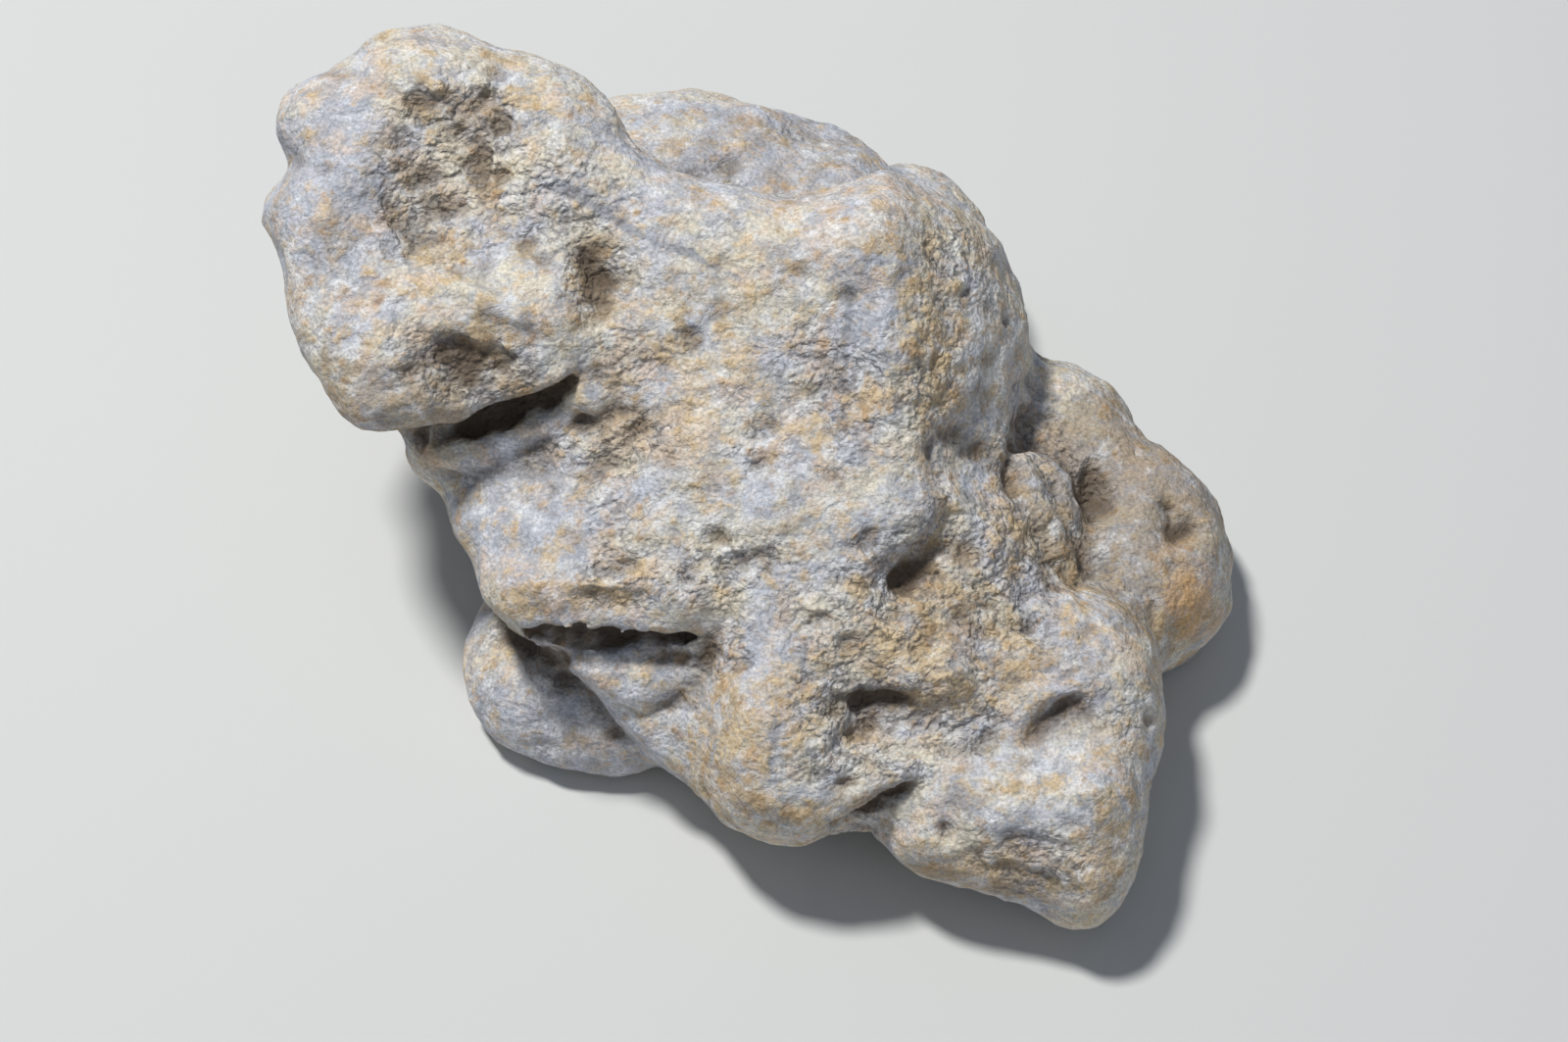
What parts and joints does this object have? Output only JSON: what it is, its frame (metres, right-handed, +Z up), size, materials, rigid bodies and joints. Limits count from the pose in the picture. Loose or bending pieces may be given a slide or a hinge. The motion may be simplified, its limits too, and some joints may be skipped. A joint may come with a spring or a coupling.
{
  "type": "geode nodule",
  "caption": "Uncut geode nodule: one closed, weathered, lumpy stone with overhanging ledges, pits and creases, lying on its own worn base.",
  "frame": {"origin": "middle of the stone's footprint box, on the surface it rests on", "axes": "+Z up, +X to the right along the stone's longest extent, +Y to the back"},
  "size_m": [0.1312, 0.1226, 0.0696],
  "materials": {
    "stone": "rough"
  },
  "bodies": {
    "root": {"stone": "stone"}
  },
  "joints": []
}
